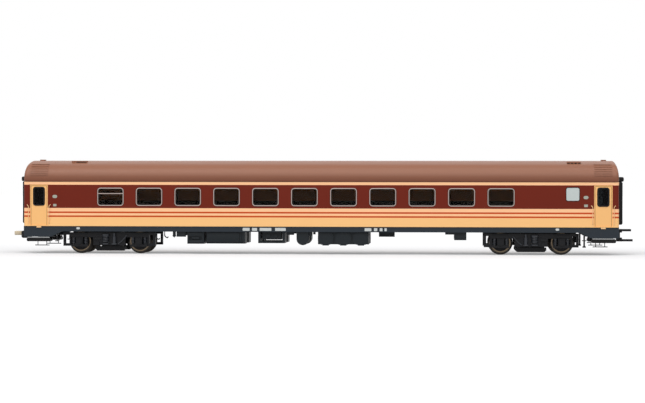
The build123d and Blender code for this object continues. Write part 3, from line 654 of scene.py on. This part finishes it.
def wire_steps():
    """Round wire steps on two hangers, and a post with a foot behind each end."""
    shape = bmesh.new()
    x, y, low, hanger_top = BODY_END - 9.2, -14.3, 4.3, 6.3
    half, spread = 3.65, 2.25
    rod(shape, (x - half, y, low), (x + half, y, low), 0.22, 12)
    for hanger in (x - spread, x + spread):
        rod(shape, (hanger, y, low), (hanger, y, hanger_top), 0.2, 12)
    mirrored(shape, "X")
    depth = (-15.7, -15.2)
    for post in (-132.9, 135.2):
        block(shape, (post - 0.2, post + 0.2), depth, (6.5, 11.4), edge=0.06)
        block(shape, (post - 1.1, post + 1.1), depth, (6.25, 6.7), edge=0.08)
    mirrored(shape, "Y")
    finish_piece(shape, "step_wires", "step_wire", "coach", stands_for=("wire_steps",))


def step_highlights():
    """Pale strips along the edges of the foot boards, a painted highlight."""
    shape = bmesh.new()
    # Painted highlight: a pale strip along the front edge of each foot board.
    block(shape, (136.8, 148.2), near(SOLE_FACE, 0.05, 0.2), (8.0, 8.5), edge=0.08)
    mirrored(shape, "X", "Y")
    finish_piece(shape, "step_highlights", "step_highlight", "coach")


def gangways():
    """Thick rubber rolls beside and above both end doors."""
    (start, end), across, (low, top) = limits("gangway_b")
    half = across[1]
    roll = 2.4
    side_setback = 0.6
    for letter, place in (("a", Matrix.Rotation(math.pi, 4, "Z")), ("b", None)):
        shape = bmesh.new()
        upright = (start, end - side_setback)
        block(shape, upright, (half - roll, half), (low, top - roll), edge=0.8, segments=4)
        mirrored(shape, "Y")
        block(shape, (start, end), across, (top - roll, top), edge=0.8, segments=4)
        finish_piece(shape, "gangway_rolls_" + letter, "bellows_rubber", "coach",
                     stands_for=("gangway_" + letter,), place=place)


def end_fittings():
    """Window and handle of both end doors."""
    face = BODY_END - 0.25
    window, handle = bmesh.new(), bmesh.new()
    block(window, (face, BODY_END - 0.1), (-2.2, 2.2), (25.5, 32.5), edge=0.05)
    block(handle, (face, BODY_END + 0.2), (3.0, 3.3), (22.6, 24.6), edge=0.08)
    mirrored(window, "X")
    mirrored(handle, "X")
    finish_piece(window, "end_door_windows", "door_glass", "coach")
    finish_piece(handle, "end_door_handles", "frame_metal", "coach")


def gear_lids():
    """Lids, hinges, handles and dials on the boxes and tanks under the floor."""
    shape = bmesh.new()
    y = -GEAR_FACE
    left, right = limits("battery_box")[0]
    for rise in ((9.4, 11.0), (5.7, 6.6)):
        block(shape, (left + 0.7, right - 0.7), near(GEAR_FACE, 0.15, 0.1), rise, edge=0.08)
    block(shape, (left + 2.3, right - 2.3), near(GEAR_FACE, -0.2, 1.1), (7.5, 8.5), edge=0.15)
    left, right = limits("converter_box")[0]
    lid = (left + 0.5, right - 3.0)
    lid_top = 11.0
    hinge_pitch, hinge_half = 6.2, 0.5
    block(shape, lid, near(GEAR_FACE, 0.08, 0.1), (6.5, lid_top), edge=0.06)
    for count in (-1, 0, 1):
        x = middle_of(lid) + count * hinge_pitch
        rod(shape, (x - hinge_half, y - 0.12, lid_top), (x + hinge_half, y - 0.12, lid_top), 0.16, 10)
    for x in (-25.0, -22.0):
        rod(shape, (x, -12.2, 9.3), (x, -13.1, 9.3), 0.8)
    tank_pitch, tank_z = 8.885, 8.0
    for count in (-1, 0, 1):
        x = middle_of(limits("air_tanks")[0]) + count * tank_pitch
        rod(shape, (x, y + 0.1, tank_z), (x, y - 0.12, tank_z), 2.6, 32)
        rod(shape, (x, y, tank_z), (x, y - 0.22, tank_z), 0.5, 16)
    block(shape, (68.8, 73.7), near(GEAR_FACE, -0.05, 0.3), (7.9, 9.8), edge=0.06)
    mirrored(shape, "Y")
    finish_piece(shape, "gear_lids", "gear_plastic", "coach")


def brake_pipes():
    """Pipe runs under the floor, the valve's bent pipe, and the brake cylinder in the middle."""
    shape = bmesh.new()
    y = -GEAR_FACE
    outer_run, inner_run = -11.0, -10.2
    for z in (12.4, 12.9):
        tube(shape, ((-80, outer_run, z), (-60, outer_run, z), (-30, inner_run, z), (62, inner_run, z),
                     (80, inner_run, z)), 0.25)
    tube(shape, ((-82.5, y, 12.0), (-82.5, y, 8.2), (-81.0, y, 7.2), (-80.6, y, 8.0)), 0.3, bend=0.6)
    mirrored(shape, "Y")
    tube(shape, ((28, 0, 11.5), (60, 0, 11.5)), 0.3)
    rod(shape, (30, 0, 10.6), (38, 0, 10.6), 2.0, 28)
    finish_piece(shape, "brake_pipes", "valve_plastic", "coach")


def ventilator_shade_strips():
    """Black strips on the side faces of the ventilator hoods: painted shade for their dark slots."""
    shape = bmesh.new()
    # Painted shade: black strips on the hood faces stand for the shade in their slots.
    block(shape, (-124.4, -119.3), (-8.55, -8.4), (46.3, 46.72), edge=0.03)
    first, pitch, half = 125.4, 1.75, 0.65
    for count in range(4):
        x = first + pitch * count
        block(shape, (x - half, x + half), (-10.15, -10.0), (45.82, 46.25), edge=0.03)
    mirrored(shape, "Y")
    finish_piece(shape, "ventilator_shade_strips", "seal_rubber", "coach")


def bogie_place(letter):
    """Where a bogie stands; the right one is turned round."""
    if letter == "a":
        return Matrix.Translation((-BOGIE_X, 0, 0))
    return Matrix.Translation((BOGIE_X, 0, 0)) @ Matrix.Rotation(math.pi, 4, "Z")


def bogie_piece(shape, name, finish, letter, stands_for=()):
    """Finishes a piece drawn for the near side of a bogie, with its twin on the far side."""
    mirrored(shape, "Y")
    finish_piece(shape, name + letter, finish, "bogie_" + letter,
                 stands_for=[node + letter for node in stands_for], place=bogie_place(letter))


def axle_coils(letter):
    """Coil springs on both sides of every axlebox."""
    shape = bmesh.new()
    spread, y = 3.05, -12.9
    low, top = rise = limits("axle_springs_a")[2]
    for axle in (-AXLE_X, AXLE_X):
        for x in (axle - spread, axle + spread):
            coil(shape, x, y, rise, radius=1.1, wire=0.26)
            rod(shape, (x, y, low), (x, y, top), 0.55, 14)
    bogie_piece(shape, "axle_coils_", "spring_plastic", letter, ("axle_springs_",))


def bolster_coils(letter):
    """Large coil spring between two cups under the bolster."""
    shape = bmesh.new()
    x, y = -1.8, -FRAME_FACE - 0.1
    low, top = limits("bolster_springs_a")[2]
    coil(shape, x, -FRAME_FACE - 0.3, (5.3, 9.1), radius=1.8, wire=0.32)
    for cup in ((low, 5.4), (9.0, top)):
        rod(shape, (x, y, cup[0]), (x, y, cup[1]), 2.0, 28)
    bogie_piece(shape, "bolster_coils_", "spring_plastic", letter, ("bolster_springs_",))


def damper_barrels(letter):
    """Upright damper with rod, barrel and foot, and the slanted link beside it."""
    shape = bmesh.new()
    x, y = 2.7, -FRAME_FACE - 0.9
    foot_low, foot_top, barrel_top = 4.6, 5.2, 8.6
    rod(shape, (x, y, foot_top), (x, y, barrel_top), 0.9, 24)
    rod(shape, (x, y, barrel_top), (x, y, limits("dampers_a")[2][1]), 0.6)
    block(shape, (x - 1.2, x + 1.2), (y - 0.9, y + 0.9), (foot_low, foot_top), edge=0.12)
    link = -FRAME_FACE - 0.3
    tube(shape, ((4.5, link, 5.0), (6.6, link, 6.4), (9.0, link, 9.4)), 0.34, bend=1.0)
    bogie_piece(shape, "damper_barrels_", "spring_plastic", letter, ("dampers_",))


def frame_trim(letter):
    """Axlebox covers with bolts, and ribs, pads and a boss on the bogie frame."""
    shape = bmesh.new()
    y = -BOX_FACE
    bolt_circle = 1.35
    for x in (-AXLE_X, AXLE_X):
        rod(shape, (x, y + 0.1, WHEEL_Z), (x, y - 0.06, WHEEL_Z), 1.25, 28)
        for turn in range(4):
            angle = math.pi / 4 + turn * math.pi / 2
            bolt_x = x + bolt_circle * math.cos(angle)
            bolt_z = WHEEL_Z + bolt_circle * math.sin(angle)
            rod(shape, (bolt_x, y + 0.1, bolt_z), (bolt_x, y - 0.05, bolt_z), 0.16, 8)
        block(shape, (x - 4.0, x + 4.0), near(FRAME_FACE, 0.45, 0.1), (9.9, 10.6))
    block(shape, (-20.3, 20.3), near(FRAME_FACE, 0.2, 0.1), (8.35, 8.7), edge=0.08)
    rod(shape, (-6.0, -FRAME_FACE + 0.1, 5.2), (-6.0, -FRAME_FACE - 0.7, 5.2), 1.0, 24)
    block(shape, (-8.4, -4.6), near(FRAME_FACE, 0.3, 0.1), (6.8, 7.8))
    bogie_piece(shape, "frame_trim_", "bogie_plastic", letter)


# Wheels: distances from the middle of the axle, and radii
WHEEL_BACK = 7.2
WHEEL_FRONT = 10.0
AXLE_END = 12.8
TREAD = 5.5
FLANGE = 6.2
TYRE_BORE = 4.4


def tyres(number, x):
    """Turned tyres with rounded flanges."""
    shape = bmesh.new()
    profile = (
        (TYRE_BORE, WHEEL_BACK), (FLANGE - 0.3, WHEEL_BACK), (FLANGE - 0.05, WHEEL_BACK + 0.15),
        (FLANGE, WHEEL_BACK + 0.4), (FLANGE - 0.1, WHEEL_BACK + 0.65), (TREAD + 0.25, WHEEL_BACK + 0.9),
        (TREAD, WHEEL_BACK + 1.2), (TREAD - 0.05, WHEEL_FRONT - 0.2), (TREAD - 0.2, WHEEL_FRONT),
        (TYRE_BORE + 0.05, WHEEL_FRONT), (TYRE_BORE, WHEEL_FRONT - 0.9), (TYRE_BORE, WHEEL_BACK),
    )
    lathe(shape, profile, x, 64)
    bmesh.ops.remove_doubles(shape, verts=shape.verts, dist=WELD)
    mirrored(shape, "Y")
    body = "wheelset_%d" % number
    finish_piece(shape, "tyres_%d" % number, "wheel_metal", body, stands_for=(body,))


def tyre_rings(number, x):
    """Thin bright ring on the front of each tyre."""
    shape = bmesh.new()
    width, back, edge, front = 0.6, WHEEL_FRONT - 0.2, WHEEL_FRONT + 0.03, WHEEL_FRONT + 0.05
    outside = TYRE_BORE + width
    profile = (
        (TYRE_BORE, back), (outside, back), (outside, edge), (outside - 0.1, front),
        (TYRE_BORE + 0.1, front), (TYRE_BORE, edge), (TYRE_BORE, back),
    )
    lathe(shape, profile, x, 64)
    bmesh.ops.remove_doubles(shape, verts=shape.verts, dist=WELD)
    mirrored(shape, "Y")
    finish_piece(shape, "tyre_rings_%d" % number, "tyre_ring", "wheelset_%d" % number)


def wheel_webs(number, x):
    """Dark wheel webs with hubs and journals, the axle between them, and two brake discs."""
    shape = bmesh.new()
    hub, journal = 1.9, 0.8
    web = (
        (0.0, WHEEL_BACK + 0.2), (TYRE_BORE + 0.1, WHEEL_BACK + 0.2), (TYRE_BORE + 0.1, WHEEL_FRONT - 0.9),
        (hub + 0.3, WHEEL_FRONT - 1.0), (hub, WHEEL_FRONT - 0.3), (hub, WHEEL_FRONT),
        (journal, WHEEL_FRONT), (journal, AXLE_END), (0.0, AXLE_END),
    )
    disc, disc_inner, disc_outer = 3.6, 3.0, 3.8
    lathe(shape, web, x, 48)
    lathe(shape, ((0, disc_inner), (disc, disc_inner), (disc, disc_outer), (0, disc_outer)), x, 40)
    mirrored(shape, "Y")
    axle_half = WHEEL_BACK + 0.3
    rod(shape, (x, -axle_half, WHEEL_Z), (x, axle_half, WHEEL_Z), 1.0, 24)
    bmesh.ops.remove_doubles(shape, verts=shape.verts, dist=WELD)
    finish_piece(shape, "wheel_webs_%d" % number, "wheel_web", "wheelset_%d" % number)


def dress_bogies():
    """All pieces of both bogies and the four wheelsets."""
    for letter in "ab":
        axle_coils(letter)
        bolster_coils(letter)
        damper_barrels(letter)
        frame_trim(letter)
    for number in range(1, 5):
        x = pivot("wheelset_%d_spin" % number)[0]
        tyres(number, x)
        tyre_rings(number, x)
        wheel_webs(number, x)


def coupler_head():
    """Head of the left coupler with its pale tongue."""
    (tip, back), sides, rise = limits("coupler_head_a")
    head_length = 4.2
    shape = bmesh.new()
    block(shape, (back - head_length, back), sides, rise, edge=1.0, segments=4)
    finish_piece(shape, "head_block_a", "coupler_plastic", "coupler_a", stands_for=("coupler_head_a",))
    shape = bmesh.new()
    block(shape, (tip, back - head_length + 0.2), (-2.0, 2.0), (9.0, 11.1), edge=0.5, segments=3)
    finish_piece(shape, "head_tongue_a", "coupler_tongue", "coupler_a")


def set_camera():
    """Camera at the place from which the picture was taken, a little to the right of the middle."""
    data = bpy.data.cameras.new("view")
    data.sensor_width = 36.0
    data.lens = 101.7
    data.clip_start = 0.01
    data.clip_end = 20
    camera = bpy.data.objects.new("view", data)
    bpy.context.collection.objects.link(camera)
    pan, tilt, roll = (math.radians(angle) for angle in (3.73, 89.543, 0.079))
    turn = Matrix.Rotation(pan, 4, "Z") @ Matrix.Rotation(tilt, 4, "X") @ Matrix.Rotation(roll, 4, "Z")
    camera.matrix_world = Matrix.Translation(Vector((0.0617, -0.930, 0.0340))) @ turn
    bpy.context.scene.camera = camera


def area_light(name, place, aim, size, power):
    """Soft rectangular lamp pointed at a place."""
    data = bpy.data.lights.new(name, "AREA")
    data.shape = "RECTANGLE"
    data.size, data.size_y = size
    data.energy = power
    lamp = bpy.data.objects.new(name, data)
    bpy.context.collection.objects.link(lamp)
    lamp.location = place
    lamp.rotation_euler = (Vector(aim) - Vector(place)).to_track_quat("-Z", "Y").to_euler()


def seen_rays(tree):
    """Socket that is 1 for what the camera sees directly, in metal or through glass."""
    path = tree.nodes.new("ShaderNodeLightPath")
    rays = maths(tree, "MAXIMUM", path.outputs["Is Camera Ray"], path.outputs["Is Transmission Ray"])
    return maths(tree, "MAXIMUM", rays, path.outputs["Is Glossy Ray"])


def ramp(tree, value, start, end, low, high):
    """Socket that goes from low to high while a value goes from start to end."""
    node = add(tree, "ShaderNodeMapRange",
               **{"From Min": start, "From Max": end, "To Min": low, "To Max": high})
    tree.links.new(value, node.inputs["Value"])
    return node.outputs[0]


def stage_material():
    """Pale floor that keeps the shadow under the coach and fades to plain white further off."""
    mat, tree, shader = material("stage_white")
    shader.inputs["Base Color"].default_value = STAGE_GREY
    shader.inputs["Roughness"].default_value = 0.9
    shader.inputs["Specular IOR Level"].default_value = 0.0
    shader.inputs["Emission Color"].default_value = WHITE
    wheels_reach = 0.13
    across = maths(tree, "ABSOLUTE", coordinate(tree, "Y"))
    along = maths(tree, "SUBTRACT", maths(tree, "ABSOLUTE", coordinate(tree, "X")), wheels_reach)
    away = maths(tree, "MAXIMUM", across, along)
    near_glow = ramp(tree, away, 0.03, 0.2, 0.27, 0.45)
    far_glow = ramp(tree, away, 0.3, 1.5, 0.0, 0.35)
    glow = maths(tree, "MULTIPLY", maths(tree, "ADD", near_glow, far_glow), seen_rays(tree))
    tree.links.new(glow, shader.inputs["Emission Strength"])
    return mat


def set_floor():
    """Wide pale floor under the wheels."""
    mesh = bpy.data.meshes.new("floor")
    shape = bmesh.new()
    bmesh.ops.create_grid(shape, x_segments=1, y_segments=1, size=6.0)
    shape.to_mesh(mesh)
    shape.free()
    floor = bpy.data.objects.new("floor", mesh)
    bpy.context.collection.objects.link(floor)
    mesh.materials.append(stage_material())


def set_room():
    """Even light from all round that is seen as plain white."""
    world = bpy.data.worlds.new("room")
    bpy.context.scene.world = world
    world.use_nodes = True
    tree = world.node_tree
    tree.nodes.clear()
    out = tree.nodes.new("ShaderNodeOutputWorld")
    light = add(tree, "ShaderNodeBackground", Color=WHITE, Strength=0.5)
    seen = add(tree, "ShaderNodeBackground", Color=WHITE, Strength=1.0)
    mixer = tree.nodes.new("ShaderNodeMixShader")
    tree.links.new(seen_rays(tree), mixer.inputs[0])
    tree.links.new(light.outputs[0], mixer.inputs[1])
    tree.links.new(seen.outputs[0], mixer.inputs[2])
    tree.links.new(mixer.outputs[0], out.inputs["Surface"])


def dress_coach():
    """All pieces that move with the coach."""
    window_trim()
    lavatory_shadow_rings()
    grab_rails()
    door_seals()
    door_feet()
    door_seams()
    blank_signs()
    blank_plates()
    wire_steps()
    step_highlights()
    gangways()
    end_fittings()
    gear_lids()
    brake_pipes()
    ventilator_shade_strips()


bpy.context.scene.view_settings.view_transform = "Standard"
dress_nodes()
dress_coach()
dress_bogies()
coupler_head()
set_camera()
set_floor()
set_room()
area_light("key", place=(-0.2, -0.9, 0.9), aim=(0, 0, 0.02), size=(1.6, 0.8), power=10.0)
area_light("top", place=(0.1, -0.3, 1.1), aim=(0, 0, 0), size=(1.6, 0.4), power=5.5)
